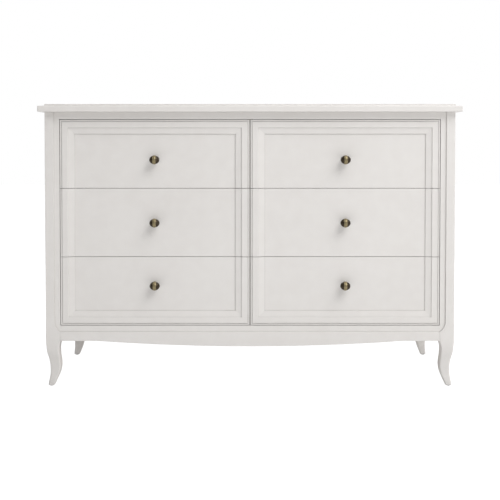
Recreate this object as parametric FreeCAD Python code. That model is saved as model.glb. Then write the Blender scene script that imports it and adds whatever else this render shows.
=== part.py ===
"""Six-drawer dresser on four S-curved legs, two banks of three drawers, in millimetres.

Frame: +X to the right, +Y to the back, +Z up. The origin is on the floor, at the centre of the overall box.
Each drawer bank carries one moulded border that runs round its three fronts, so that a closed bank reads as
one framed panel. Every drawer rides on two full-extension steel slides of three members each.
"""

import FreeCAD
import Part
import os
from math import sqrt

V = FreeCAD.Vector

# how far a cutting body passes the face that it opens, and how close two lengths are to count as equal
OVER = 1.0
TOLERANCE = 1e-4

# ---- overall sizes
TOP_WIDTH = 1340.0
TOP_DEPTH = 475.0
TOTAL_HEIGHT = 900.0
SIDE_OVERHANG = 19.0
FRONT_OVERHANG = 19.0

# ---- top board
NOSE_THICKNESS = 19.0
NOSE_CORNER_RADIUS = 3.0
NOSE_EDGE_RADIUS = 2.6
RAISED_THICKNESS = 6.0
RAISED_EDGE_RADIUS = 1.2
LEDGE_WIDTH = 18.5
LEDGE_COVE = 2.5

# ---- corner posts, each with its leg
POST = 46.0
POST_RADIUS = 2.0
LEG_HEIGHT = 145.5
FOOT_RADIUS = 5.5
FOOT_ROUND_SHARE = 0.5
# share of the leg's height, inset of the outer side, inset of the inner side
LEG_OUTLINE = (
    (0.00, 5.8, 21.2),
    (0.09, 7.5, 15.2),
    (0.20, 10.2, 8.6),
    (0.30, 11.4, 3.9),
    (0.40, 11.2, 1.7),
    (0.50, 9.9, 1.6),
    (0.60, 7.5, 3.2),
    (0.70, 4.0, 4.6),
    (0.78, 2.1, 5.3),
    (0.88, 0.9, 4.4),
    (0.94, 0.3, 2.4),
    (1.00, 0.0, 0.0),
)
GLIDE_THICKNESS = 2.5
GLIDE_RADIUS = 6.5
GLIDE_CHAMFER = 0.5

# ---- face frame: a stepped band runs round the drawer opening
RAIL_THICKNESS = 22.0
TOP_RAIL_HEIGHT = 23.0
APRON_HEIGHT = 49.0
STEP_WIDTH = 18.5
STEP_DEPTH = 3.5
APRON_STEP_HEIGHT = 20.3
STEP_CORNER_RADIUS = 40.0
FRAME_RADIUS = 0.8

# ---- curved lower edges of the aprons
FRONT_APRON_DROP = 17.2
FRONT_APRON_FLAT = 105.0
FRONT_APRON_REVERSE_RADIUS = 350.0
SIDE_APRON_DROP = 9.0
SIDE_APRON_FLAT = 40.0
SIDE_APRON_REVERSE_RADIUS = 90.0

# ---- case panels
SIDE_PANEL_THICKNESS = 18.0
SIDE_PANEL_RECESS = 6.0
BACK_THICKNESS = 5.0
BACK_INSET = 4.0
BOTTOM_THICKNESS = 12.0
BOTTOM_SINK = 3.0
PARTITION_THICKNESS = 18.0
REAR_TOP_RAIL_HEIGHT = 40.0
REAR_BOTTOM_RAIL_HEIGHT = 40.0
TENON_LENGTH = 12.0
TENON_THICKNESS = 8.0
TENON_SHOULDER = 4.0
TONGUE = 7.0
FIT = 0.15
ANCHOR_HOLE_SPACING = 800.0
ANCHOR_HOLE_RADIUS = 2.0
ANCHOR_HOLE_DEPTH = 12.0
CLEAT_HEIGHT = 50.0

# ---- screws that hold the top board down, up through the two top rails
TOP_SCREW_RADIUS = 2.0
TOP_SCREW_LENGTH = 35.0
TOP_SCREW_HEAD_RADIUS = 4.0
TOP_SCREW_HEAD_HEIGHT = 2.6
TOP_SCREW_CLEARANCE = 0.4
TOP_SCREW_GRIP = 21.0
TOP_SCREW_INSET = 6.5
TOP_SCREW_SPACING = 300.0
TOP_SCREWS_PER_RAIL = 4

# ---- drawer fronts
ROWS = ("bottom", "middle", "top")
BANKS = ("left", "right")
FRONT_THICKNESS = 22.0
FRONT_SETBACK = 3.5
EDGE_GAP = 1.5
ROW_GAP = 1.4
CENTRE_GAP = 2.6
LIP_WIDTH = 6.3
LIP_DEPTH = 1.0
QUIRK_WIDTH = 1.8
QUIRK_DEPTH = 2.8
BORDER_WIDTH = 25.0
BORDER_STEP = 2.3
SLOPE_WIDTH = 19.5
SLOPE_DEPTH = 2.5
PANEL_STEP = 2.5
FRONT_RADIUS = 0.8

# ---- drawer boxes
BOX_SIDE_THICKNESS = 12.0
BOX_LIFT = 18.0
BOX_HEADROOM = 34.0
BOX_REAR_CLEARANCE = 12.0
BOX_BOTTOM_THICKNESS = 6.0
BOX_BOTTOM_LIFT = 12.0
BOX_GROOVE = 6.0
PARTITION_CLEARANCE = 2.0

# ---- slides
SLIDE_WIDTH = 12.7
SLIDE_SHEET = 1.2
SLIDE_FRONT_SETBACK = 3.0
SLIDE_HEIGHT = 45.0
SLIDE_LIFT = 55.0
MEMBER_SIDE_CLEARANCE = 1.0
MEMBER_RACE = 1.9
LIP_CLEARANCE = 0.4

# ---- knobs
KNOB_WIDTH = 32.0
KNOB_HEIGHT = 27.5
KNOB_NECK_LENGTH = 7.3
KNOB_NECK_RADIUS = 4.8
KNOB_BASE_RADIUS = 8.0
KNOB_BASE_THICKNESS = 2.0
KNOB_BAND_WIDTH = 9.6
KNOB_BAND_RISE = 0.7
KNOB_GROOVE_WIDTH = 0.9
KNOB_GROOVE_DEPTH = 0.8
KNOB_BASE_ROUND = 1.2
KNOB_TO_MIDDLE = 18.5
SCREW_RADIUS = 2.0
SCREW_HOLE_RADIUS = 2.3
SCREW_HEAD_RADIUS = 4.4
SCREW_HEAD_THICKNESS = 2.4
SCREW_HEAD_ROUND = 1.4
SCREW_ENGAGEMENT = 9.0
SCREW_THREAD_CLEARANCE = 0.05

# ---- places that follow from the sizes above
CASE_HALF = TOP_WIDTH / 2 - SIDE_OVERHANG
CASE_DEPTH = TOP_DEPTH - FRONT_OVERHANG
CASE_TOP = TOTAL_HEIGHT - NOSE_THICKNESS - RAISED_THICKNESS
PANEL_SINK = BORDER_STEP + SLOPE_DEPTH + PANEL_STEP
KNOB_REACH = KNOB_NECK_LENGTH + KNOB_HEIGHT + KNOB_BAND_RISE
FRONT_REACH = max(FRONT_OVERHANG, KNOB_REACH - PANEL_SINK - FRONT_SETBACK)
Y_FRONT = (FRONT_REACH - CASE_DEPTH) / 2
Y_BACK = Y_FRONT + CASE_DEPTH
OPENING_HALF = CASE_HALF - POST
OPENING_TOP = CASE_TOP - TOP_RAIL_HEIGHT
APRON_TOP = LEG_HEIGHT + APRON_HEIGHT
APRON_STEP_Z = APRON_TOP - APRON_STEP_HEIGHT
FACE_Y = Y_FRONT + FRONT_SETBACK
FRONT_BACK_Y = FACE_Y + FRONT_THICKNESS
FRONT_WIDTH = OPENING_HALF - EDGE_GAP - CENTRE_GAP / 2
BANK_HEIGHT = OPENING_TOP - APRON_TOP - 2 * EDGE_GAP
FRONT_HEIGHT = (BANK_HEIGHT - (len(ROWS) - 1) * ROW_GAP) / len(ROWS)
BOX_HEIGHT = FRONT_HEIGHT - BOX_LIFT - BOX_HEADROOM
BACK_PANEL_Y = Y_BACK - BACK_INSET - BACK_THICKNESS
REAR_RAIL_Y = Y_BACK - RAIL_THICKNESS
TOP_RAIL_BACK_Y = Y_FRONT + STEP_DEPTH + RAIL_THICKNESS
SIDE_INNER_X = CASE_HALF - SIDE_PANEL_RECESS - SIDE_PANEL_THICKNESS
BOTTOM_TOP_Z = APRON_TOP - BOTTOM_SINK
SLIDE_FRONT_Y = FRONT_BACK_Y + SLIDE_FRONT_SETBACK
BOX_BACK_Y = BACK_PANEL_Y - BOX_REAR_CLEARANCE
SLIDE_LENGTH = BOX_BACK_Y - SLIDE_FRONT_Y


def block(x0, x1, y0, y1, z0, z1):
    """A box between six planes, in any order of each pair."""
    low = V(min(x0, x1), min(y0, y1), min(z0, z1))
    return Part.makeBox(abs(x1 - x0), abs(y1 - y0), abs(z1 - z0), low)


def rod_y(x, z, radius, y0, y1):
    """A round bar along Y."""
    return Part.makeCylinder(radius, y1 - y0, V(x, y0, z), V(0, 1, 0))


def grown(box, by):
    """A box's own extents, grown on every side by the fit."""
    b = box.BoundBox
    return block(b.XMin - by, b.XMax + by, b.YMin - by, b.YMax + by, b.ZMin - by, b.ZMax + by)


def mirrored_x(shape):
    """The same shape on the other side of the middle of the case."""
    return shape.mirror(V(0, 0, 0), V(1, 0, 0))


def edges_where(shape, test):
    """The edges whose bounding box passes the test."""
    return [e for e in shape.Edges if test(e.BoundBox)]


def near(a, b):
    """True when two lengths are the same."""
    return abs(a - b) < TOLERANCE


def upright(b):
    """True for the bounding box of an edge that runs up and down."""
    return b.ZLength > OVER


def save(shape, name):
    """Writes one sub-part, after making sure that it is made of sound closed solids."""
    if not shape.isValid() or not shape.Solids:
        raise ValueError(name + " is not a sound solid")
    shape.exportStep("parts/" + name + ".step")


# ---------------------------------------------------------------- case


def top_board():
    """The board, with a low raised field set back from its front and two ends and a cove at its foot."""
    half = TOP_WIDTH / 2
    inner = half - LEDGE_WIDTH
    front = Y_FRONT - FRONT_OVERHANG
    step_z = CASE_TOP + NOSE_THICKNESS

    def off_back(b):
        """A level edge that isn't on the plain back."""
        return b.YMin < Y_BACK - OVER and near(b.ZLength, 0)

    nose = block(-half, half, front, Y_BACK, CASE_TOP, step_z)
    corners = edges_where(nose, lambda b: near(b.YMax, front) and upright(b))
    nose = nose.makeFillet(NOSE_CORNER_RADIUS, corners)
    nose = nose.makeFillet(NOSE_EDGE_RADIUS, edges_where(nose, off_back))
    raised = block(-inner, inner, front + LEDGE_WIDTH, Y_BACK, step_z, TOTAL_HEIGHT)
    upper = edges_where(raised, lambda b: off_back(b) and near(b.ZMin, TOTAL_HEIGHT))
    raised = raised.makeFillet(RAISED_EDGE_RADIUS, upper)
    board = nose.fuse(raised).removeSplitter()

    def at_foot(b):
        """An edge between the ledge and the raised field."""
        inside = b.XMin > -inner - OVER and b.XMax < inner + OVER and b.YMin > front + LEDGE_WIDTH - OVER
        return inside and off_back(b) and near(b.ZMin, step_z)

    board = board.makeFillet(LEDGE_COVE, edges_where(board, at_foot))
    for hole in top_screw_holes():
        board = board.cut(hole)
    return board


def top_screw_places():
    """The axes of the screws, in the front rail and then in the rear one."""
    first = -(TOP_SCREWS_PER_RAIL - 1) / 2 * TOP_SCREW_SPACING
    places = []
    for y in (TOP_RAIL_BACK_Y - TOP_SCREW_INSET, REAR_RAIL_Y + TOP_SCREW_INSET):
        places += [(first + n * TOP_SCREW_SPACING, y) for n in range(TOP_SCREWS_PER_RAIL)]
    return places


def top_screws():
    """Countersunk wood screws, heads down."""
    seat = CASE_TOP - TOP_SCREW_GRIP
    screws = []
    for x, y in top_screw_places():
        shank = Part.makeCylinder(TOP_SCREW_RADIUS, TOP_SCREW_LENGTH, V(x, y, seat))
        head = Part.makeCone(TOP_SCREW_HEAD_RADIUS, TOP_SCREW_RADIUS, TOP_SCREW_HEAD_HEIGHT, V(x, y, seat))
        screws.append(shank.fuse(head).removeSplitter())
    return Part.makeCompound(screws)


def top_screw_holes():
    """What each screw needs in wood: a hole for its shank, and an open well up to its head."""
    seat = CASE_TOP - TOP_SCREW_GRIP
    wide = TOP_SCREW_HEAD_RADIUS + TOP_SCREW_CLEARANCE
    holes = []
    for x, y in top_screw_places():
        hole = Part.makeCylinder(TOP_SCREW_RADIUS, TOP_SCREW_LENGTH, V(x, y, seat))
        cone = Part.makeCone(wide, TOP_SCREW_RADIUS, TOP_SCREW_HEAD_HEIGHT + TOP_SCREW_CLEARANCE, V(x, y, seat))
        well = Part.makeCylinder(wide, REAR_TOP_RAIL_HEIGHT, V(x, y, seat - REAR_TOP_RAIL_HEIGHT))
        holes.append(hole.fuse(cone).fuse(well))
    return holes


def rounded_square(low, high, radius, z):
    """A square wire with round corners, in the plane at z, from (low, low) to (high, high)."""
    near_side, far_side = low + radius, high - radius
    k = radius * (1 - sqrt(0.5))
    corners = (
        ((far_side, low), (high - k, low + k), (high, near_side)),
        ((high, far_side), (high - k, high - k), (far_side, high)),
        ((near_side, high), (low + k, high - k), (low, far_side)),
        ((low, near_side), (low + k, low + k), (near_side, low)),
    )
    edges = []
    for n, (start, middle, end) in enumerate(corners):
        edges.append(Part.Arc(V(*start, z), V(*middle, z), V(*end, z)).toShape())
        following = corners[(n + 1) % len(corners)][0]
        edges.append(Part.LineSegment(V(*end, z), V(*following, z)).toShape())
    return Part.Wire(edges)


def leg_post(front):
    """The right-hand post with its leg. Both outer sides have the same S curve, as both inner sides have.

    It is drawn with its outer faces on x = 0 and y = 0 and its inner faces at POST, then turned into place.
    """
    bottom = GLIDE_THICKNESS
    sections = []
    for share, outer, inner in LEG_OUTLINE:
        z = bottom + share * (LEG_HEIGHT - bottom)
        sharpened = max(0.0, share - FOOT_ROUND_SHARE) / (1 - FOOT_ROUND_SHARE)
        radius = FOOT_RADIUS + (POST_RADIUS - FOOT_RADIUS) * sharpened
        sections.append(rounded_square(outer, POST - inner, radius, z))
    leg = Part.makeLoft(sections, True, False)
    shaft = block(0, POST, 0, POST, LEG_HEIGHT, CASE_TOP)
    shaft = shaft.makeFillet(POST_RADIUS, edges_where(shaft, upright))
    post = shaft.fuse(leg)
    # outer faces to the right and to the front or back
    post = mirrored_x(post)
    post.translate(V(CASE_HALF, 0, 0))
    if front:
        post.translate(V(0, Y_FRONT, 0))
    else:
        post = post.mirror(V(0, 0, 0), V(0, 1, 0))
        post.translate(V(0, Y_BACK, 0))
    return post.cut(post_step()) if front else post


def post_step():
    """What the stepped band takes from a front post: it ends in a quarter round above the apron."""
    line_x = OPENING_HALF + STEP_WIDTH
    radius = STEP_CORNER_RADIUS
    rise = sqrt(radius**2 - (radius - STEP_WIDTH) ** 2)
    centre = V(line_x - radius, 0, APRON_STEP_Z + rise)
    start = V(line_x, 0, centre.z)
    end = V(OPENING_HALF, 0, APRON_STEP_Z)
    middle = (start + end) * 0.5 - centre
    middle = centre + middle * (radius / middle.Length)
    top = CASE_TOP + OVER
    inside = OPENING_HALF - OVER
    edges = [
        Part.LineSegment(V(line_x, 0, top), start).toShape(),
        Part.Arc(start, middle, end).toShape(),
        Part.LineSegment(end, V(inside, 0, APRON_STEP_Z)).toShape(),
        Part.LineSegment(V(inside, 0, APRON_STEP_Z), V(inside, 0, top)).toShape(),
        Part.LineSegment(V(inside, 0, top), V(line_x, 0, top)).toShape(),
    ]
    face = Part.Face(Part.Wire(edges))
    cutter = face.extrude(V(0, STEP_DEPTH + OVER, 0))
    cutter.translate(V(0, Y_FRONT - OVER, 0))
    return cutter


def curved_board(half_length, flat, drop, reverse_radius, low, high, thickness):
    """A board along X whose lower edge has a flat at each end, then a reverse curve, then one long arc.

    The two arcs are tangent to the flats, to each other and to the level at the middle.
    """
    run = half_length - flat
    main_radius = (run**2 + drop**2) / (2 * drop) - reverse_radius
    share = reverse_radius / (reverse_radius + main_radius)
    turn_x = run - run * share
    turn_z = low - drop * share
    points = {"flat": V(run, 0, low), "turn": V(turn_x, 0, turn_z), "middle": V(0, 0, low - drop)}

    def on_reverse(x):
        """A point of the short arc that leaves the flat."""
        return V(x, 0, low - reverse_radius + sqrt(reverse_radius**2 - (run - x) ** 2))

    def on_main(x):
        """A point of the long arc under the middle."""
        return V(x, 0, low - drop + main_radius - sqrt(main_radius**2 - x**2))

    def flip(p):
        """The same point on the other side of the middle."""
        return V(-p.x, 0, p.z)

    right = [
        Part.LineSegment(V(half_length, 0, low), points["flat"]).toShape(),
        Part.Arc(points["flat"], on_reverse((run + turn_x) / 2), points["turn"]).toShape(),
    ]
    left = [
        Part.Arc(flip(points["turn"]), flip(on_reverse((run + turn_x) / 2)), flip(points["flat"])).toShape(),
        Part.LineSegment(flip(points["flat"]), V(-half_length, 0, low)).toShape(),
    ]
    belly = [Part.Arc(points["turn"], on_main(0), flip(points["turn"])).toShape()]
    upper = [
        Part.LineSegment(V(-half_length, 0, low), V(-half_length, 0, high)).toShape(),
        Part.LineSegment(V(-half_length, 0, high), V(half_length, 0, high)).toShape(),
        Part.LineSegment(V(half_length, 0, high), V(half_length, 0, low)).toShape(),
    ]
    return Part.Face(Part.Wire(right + belly + left + upper)).extrude(V(0, thickness, 0))


def tenon_pair(half_length, y_middle, z0, z1):
    """The two tenons on the ends of a rail along X."""
    y0, y1 = y_middle - TENON_THICKNESS / 2, y_middle + TENON_THICKNESS / 2
    right = block(half_length, half_length + TENON_LENGTH, y0, y1, z0 + TENON_SHOULDER, z1 - TENON_SHOULDER)
    return [right, mirrored_x(right)]


def side_tenon_pair(x_middle, z0, z1):
    """The two tenons on the ends of a rail along Y between a front and a rear post."""
    x0, x1 = x_middle - TENON_THICKNESS / 2, x_middle + TENON_THICKNESS / 2
    z0, z1 = z0 + TENON_SHOULDER, z1 - TENON_SHOULDER
    front_y, rear_y = Y_FRONT + POST, Y_BACK - POST
    return [
        block(x0, x1, front_y - TENON_LENGTH, front_y, z0, z1),
        block(x0, x1, rear_y, rear_y + TENON_LENGTH, z0, z1),
    ]


def rail_tenons():
    """Every tenon that enters a post, by the rail that carries it."""
    rear_y = REAR_RAIL_Y + RAIL_THICKNESS / 2
    side_x = CASE_HALF - RAIL_THICKNESS / 2
    rear_low = APRON_TOP - REAR_BOTTOM_RAIL_HEIGHT
    return {
        "front_top": tenon_pair(OPENING_HALF, TOP_RAIL_BACK_Y - RAIL_THICKNESS / 2, OPENING_TOP, CASE_TOP),
        "front_apron": tenon_pair(OPENING_HALF, Y_FRONT + RAIL_THICKNESS / 2, LEG_HEIGHT, APRON_TOP),
        "rear_top": tenon_pair(OPENING_HALF, rear_y, CASE_TOP - REAR_TOP_RAIL_HEIGHT, CASE_TOP),
        "rear_bottom": tenon_pair(OPENING_HALF, rear_y, rear_low, APRON_TOP),
        "side_apron": side_tenon_pair(side_x, LEG_HEIGHT, APRON_TOP),
    }


def side_panel():
    """The right-hand side: a board set back from the posts, with a tongue into each of them."""
    outer = SIDE_INNER_X + SIDE_PANEL_THICKNESS
    board = block(SIDE_INNER_X, outer, Y_FRONT + POST, Y_BACK - POST, APRON_TOP, CASE_TOP)
    tongues = side_tongues()
    return board.fuse(tongues[0]).fuse(tongues[1]).removeSplitter()


def side_tongues():
    """The tongues on the front and rear edges of the right-hand side panel."""
    middle = SIDE_INNER_X + SIDE_PANEL_THICKNESS / 2
    x0, x1 = middle - TENON_THICKNESS / 2, middle + TENON_THICKNESS / 2
    z0, z1 = APRON_TOP + TENON_SHOULDER, CASE_TOP - TENON_SHOULDER
    front_y, rear_y = Y_FRONT + POST, Y_BACK - POST
    return [block(x0, x1, front_y - TONGUE, front_y, z0, z1), block(x0, x1, rear_y, rear_y + TONGUE, z0, z1)]


def back_panel():
    """A thin sheet held in grooves of the rear posts and the two rear rails."""
    reach = OPENING_HALF + TONGUE
    z0 = APRON_TOP - TONGUE
    z1 = CASE_TOP - REAR_TOP_RAIL_HEIGHT + TONGUE
    return block(-reach, reach, BACK_PANEL_Y, BACK_PANEL_Y + BACK_THICKNESS, z0, z1)


def front_top_rail(tenons):
    """The rail over the drawers, set back in line with the stepped band."""
    rail = block(-OPENING_HALF, OPENING_HALF, Y_FRONT + STEP_DEPTH, TOP_RAIL_BACK_Y, OPENING_TOP, CASE_TOP)
    for hole in top_screw_holes():
        rail = rail.cut(hole)
    return rail.fuse(tenons[0]).fuse(tenons[1])


def front_apron(tenons):
    """The shaped lower rail, stepped back along its upper edge in line with the posts."""
    board = curved_board(
        OPENING_HALF, FRONT_APRON_FLAT, FRONT_APRON_DROP, FRONT_APRON_REVERSE_RADIUS,
        LEG_HEIGHT, APRON_TOP, RAIL_THICKNESS,
    )
    board.translate(V(0, Y_FRONT, 0))
    step = block(-OPENING_HALF, OPENING_HALF, Y_FRONT, Y_FRONT + STEP_DEPTH, APRON_STEP_Z, APRON_TOP)
    board = board.cut(step)

    def on_rim(b):
        """An edge round the apron's front face that runs across the case."""
        return b.XLength > OVER and near(b.YMax, Y_FRONT)

    board = board.makeFillet(FRAME_RADIUS, edges_where(board, on_rim))
    return board.fuse(tenons[0]).fuse(tenons[1])


def side_apron(tenons):
    """The shaped rail under the right-hand side panel."""
    half = (CASE_DEPTH - 2 * POST) / 2
    board = curved_board(
        half, SIDE_APRON_FLAT, SIDE_APRON_DROP, SIDE_APRON_REVERSE_RADIUS, LEG_HEIGHT, APRON_TOP, RAIL_THICKNESS
    )
    board.rotate(V(0, 0, 0), V(0, 0, 1), 90)
    board.translate(V(CASE_HALF, (Y_FRONT + Y_BACK) / 2, 0))

    def on_rim(b):
        """An edge round the outer face that runs along the side, but not the one under the panel."""
        return b.YLength > OVER and near(b.XMin, CASE_HALF) and b.ZMin < APRON_TOP - OVER

    board = board.makeFillet(FRAME_RADIUS, edges_where(board, on_rim))
    return board.fuse(tenons[0]).fuse(tenons[1])


def rear_rail(z0, z1, tenons):
    """A rail between the rear posts, grooved for the back panel."""
    rail = block(-OPENING_HALF, OPENING_HALF, REAR_RAIL_Y, Y_BACK, z0, z1)
    return rail.fuse(tenons[0]).fuse(tenons[1]).cut(grown(back_panel(), FIT))


def rear_top_rail(tenons):
    """The rail under the back of the top, with two blind holes for a wall anchor."""
    rail = rear_rail(CASE_TOP - REAR_TOP_RAIL_HEIGHT, CASE_TOP, tenons)
    for hole in top_screw_holes():
        rail = rail.cut(hole)
    z = CASE_TOP - REAR_TOP_RAIL_HEIGHT / 2
    for x in (-ANCHOR_HOLE_SPACING / 2, ANCHOR_HOLE_SPACING / 2):
        rail = rail.cut(rod_y(x, z, ANCHOR_HOLE_RADIUS, Y_BACK - ANCHOR_HOLE_DEPTH, Y_BACK + OVER))
    return rail


def bottom_panel():
    """The floor of the case, notched round the posts."""
    reach = CASE_HALF - RAIL_THICKNESS
    y0, y1 = Y_FRONT + RAIL_THICKNESS, REAR_RAIL_Y
    panel = block(-reach, reach, y0, y1, BOTTOM_TOP_Z - BOTTOM_THICKNESS, BOTTOM_TOP_Z)
    for side in (-1, 1):
        for near_y, far_y in ((Y_FRONT, Y_FRONT + POST + FIT), (Y_BACK - POST - FIT, Y_BACK)):
            notch = block(side * (OPENING_HALF - FIT), side * CASE_HALF, near_y, far_y, 0, CASE_TOP)
            panel = panel.cut(notch)
    return panel


def centre_partition():
    """The upright between the banks, behind the fronts, notched for the two top rails."""
    half = PARTITION_THICKNESS / 2
    front = FRONT_BACK_Y + PARTITION_CLEARANCE
    panel = block(-half, half, front, BACK_PANEL_Y, BOTTOM_TOP_Z, CASE_TOP)
    panel = panel.cut(block(-half, half, Y_FRONT, TOP_RAIL_BACK_Y, OPENING_TOP, CASE_TOP))
    rail_low = CASE_TOP - REAR_TOP_RAIL_HEIGHT
    panel = panel.cut(block(-half, half, REAR_RAIL_Y, Y_BACK, rail_low, CASE_TOP))
    return panel.cut(block(-half, half, REAR_RAIL_Y, Y_BACK, 0, APRON_TOP))


def foot_glides():
    """A plastic disc under the middle of each foot."""
    outer, inner = LEG_OUTLINE[0][1:]
    inset = (outer + POST - inner) / 2
    discs = []
    for x in (-CASE_HALF + inset, CASE_HALF - inset):
        for y in (Y_FRONT + inset, Y_BACK - inset):
            disc = Part.makeCylinder(GLIDE_RADIUS, GLIDE_THICKNESS, V(x, y, 0))
            rim = edges_where(disc, lambda b: near(b.ZMax, 0))
            discs.append(disc.makeChamfer(GLIDE_CHAMFER, rim))
    return Part.makeCompound(discs)


def slide_cleats():
    """Strips on the inner faces of the side panels that bring the slides out flush with the posts."""
    strips = []
    for row in ROWS:
        z0 = slide_z(row) - CLEAT_HEIGHT / 2
        right = block(OPENING_HALF, SIDE_INNER_X, Y_FRONT + POST, Y_BACK - POST, z0, z0 + CLEAT_HEIGHT)
        strips += [right, mirrored_x(right)]
    return Part.makeCompound(strips)


# ---------------------------------------------------------------- drawers


def bank_span(bank):
    """The two ends in X of a bank's fronts."""
    low = CENTRE_GAP / 2
    return (low, low + FRONT_WIDTH) if bank == "right" else (-low - FRONT_WIDTH, -low)


def bay_span(bank):
    """The two walls in X that carry a bank's slides."""
    low, high = PARTITION_THICKNESS / 2, OPENING_HALF
    return (low, high) if bank == "right" else (-high, -low)


def row_low(row):
    """The height of the lower edge of a row's fronts."""
    return APRON_TOP + EDGE_GAP + ROWS.index(row) * (FRONT_HEIGHT + ROW_GAP)


def slide_z(row):
    """The height of the middle of a row's slides."""
    return row_low(row) + BOX_LIFT + SLIDE_LIFT


def bank_recess(x0, x1, z0, z1):
    """What the moulding takes from a whole bank: a step, a slope and a second step round a flat panel."""
    a, b = BORDER_WIDTH, BORDER_WIDTH + SLOPE_WIDTH
    y1, y2, y3 = FACE_Y + BORDER_STEP, FACE_Y + BORDER_STEP + SLOPE_DEPTH, FACE_Y + PANEL_SINK

    def outline(inset, y):
        """A rectangle inside the bank's edges."""
        corners = [
            V(x0 + inset, y, z0 + inset), V(x1 - inset, y, z0 + inset),
            V(x1 - inset, y, z1 - inset), V(x0 + inset, y, z1 - inset),
        ]
        return Part.makePolygon(corners + corners[:1])

    first = block(x0 + a, x1 - a, FACE_Y - OVER, y1, z0 + a, z1 - a)
    slope = Part.makeLoft([outline(a, y1), outline(b, y2)], True, True)
    second = block(x0 + b, x1 - b, y2, y3, z0 + b, z1 - b)
    return first.fuse(slope).fuse(second)


def bank_lip(x0, x1, z0, z1):
    """A shallow rebate round the outer edge of a whole bank, and the groove that parts it from the border."""

    def band(start, end, depth):
        """What is cut to one depth, between two distances from the bank's edge."""
        y0, y1 = FACE_Y - OVER, FACE_Y + depth
        whole = block(x0 + start, x1 - start, y0, y1, z0 + start, z1 - start)
        return whole.cut(block(x0 + end, x1 - end, y0, y1, z0 + end, z1 - end))

    return band(-OVER, LIP_WIDTH, LIP_DEPTH).fuse(band(LIP_WIDTH - QUIRK_WIDTH, LIP_WIDTH, QUIRK_DEPTH))


def knob_place(bank, row):
    """The knob's axis: mid-width of the bank, and in the outer rows nearer to the middle row."""
    x0, x1 = bank_span(bank)
    towards = {"bottom": 1, "middle": 0, "top": -1}[row]
    return (x0 + x1) / 2, row_low(row) + FRONT_HEIGHT / 2 + towards * KNOB_TO_MIDDLE


def drawer_front(bank, row, grooves):
    """One of a bank's three fronts, with its share of the bank's moulding and the grooves in its back."""
    x0, x1 = bank_span(bank)
    low, high = row_low("bottom"), row_low("bottom") + BANK_HEIGHT
    z0, z1 = row_low(row), row_low(row) + FRONT_HEIGHT
    front = block(x0, x1, FACE_Y, FRONT_BACK_Y, z0, z1)
    front = front.cut(bank_lip(x0, x1, low, high)).cut(bank_recess(x0, x1, low, high))

    def is_crest(b):
        """An outward edge of the border or of the lip."""
        if not near(b.YMin, b.YMax) or on_row_joint(b):
            return False
        return near(b.YMin, FACE_Y) or near(b.YMin, FACE_Y + LIP_DEPTH)

    def on_row_joint(b):
        """True on the plain upper or lower side, where the next drawer's front begins."""
        flat = near(b.ZMin, b.ZMax)
        lower = near(b.ZMin, z0) and not near(z0, low)
        upper = near(b.ZMin, z1) and not near(z1, high)
        return flat and (lower or upper)

    front = front.makeFillet(FRONT_RADIUS, edges_where(front, is_crest))
    x, z = knob_place(bank, row)
    front = front.cut(rod_y(x, z, SCREW_HOLE_RADIUS, FACE_Y, FRONT_BACK_Y + OVER))
    for groove in grooves:
        front = front.cut(grown(groove, FIT))
    return front


def box_sides(bank, row):
    """The two side boards, each entering a groove in the back of the front."""
    x0, x1 = bay_span(bank)
    z0 = row_low(row) + BOX_LIFT
    t = BOX_SIDE_THICKNESS
    boards = []
    for outer, inwards in ((x0 + SLIDE_WIDTH, 1), (x1 - SLIDE_WIDTH, -1)):
        y0, y1 = FRONT_BACK_Y - BOX_GROOVE, BOX_BACK_Y
        boards.append(block(outer, outer + inwards * t, y0, y1, z0, z0 + BOX_HEIGHT))
    return boards


def box_back(bank, row):
    """The board across the back of a drawer, between its sides."""
    x0, x1 = bay_span(bank)
    inset = SLIDE_WIDTH + BOX_SIDE_THICKNESS
    z0 = row_low(row) + BOX_LIFT
    return block(x0 + inset, x1 - inset, BOX_BACK_Y - BOX_SIDE_THICKNESS, BOX_BACK_Y, z0, z0 + BOX_HEIGHT)


def box_bottom(bank, row):
    """The thin bottom, held in grooves on all four sides."""
    x0, x1 = bay_span(bank)
    inset = SLIDE_WIDTH + BOX_SIDE_THICKNESS - BOX_GROOVE
    z0 = row_low(row) + BOX_LIFT + BOX_BOTTOM_LIFT
    y0 = FRONT_BACK_Y - BOX_GROOVE
    y1 = BOX_BACK_Y - BOX_SIDE_THICKNESS + BOX_GROOVE
    return block(x0 + inset, x1 - inset, y0, y1, z0, z0 + BOX_BOTTOM_THICKNESS)


def channel(back_u, edge_u, half_height, z, wall_x, inwards):
    """A steel channel along Y: its web is at back_u from the case wall, and its flanges reach edge_u."""
    s = SLIDE_SHEET
    towards_edge = s if edge_u > back_u else -s
    outline = [
        (back_u, -half_height), (edge_u, -half_height), (edge_u, s - half_height),
        (back_u + towards_edge, s - half_height), (back_u + towards_edge, half_height - s),
        (edge_u, half_height - s), (edge_u, half_height), (back_u, half_height),
    ]
    points = [V(wall_x + inwards * u, SLIDE_FRONT_Y, z + h) for u, h in outline]
    return Part.Face(Part.makePolygon(points + points[:1])).extrude(V(0, SLIDE_LENGTH, 0))


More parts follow.
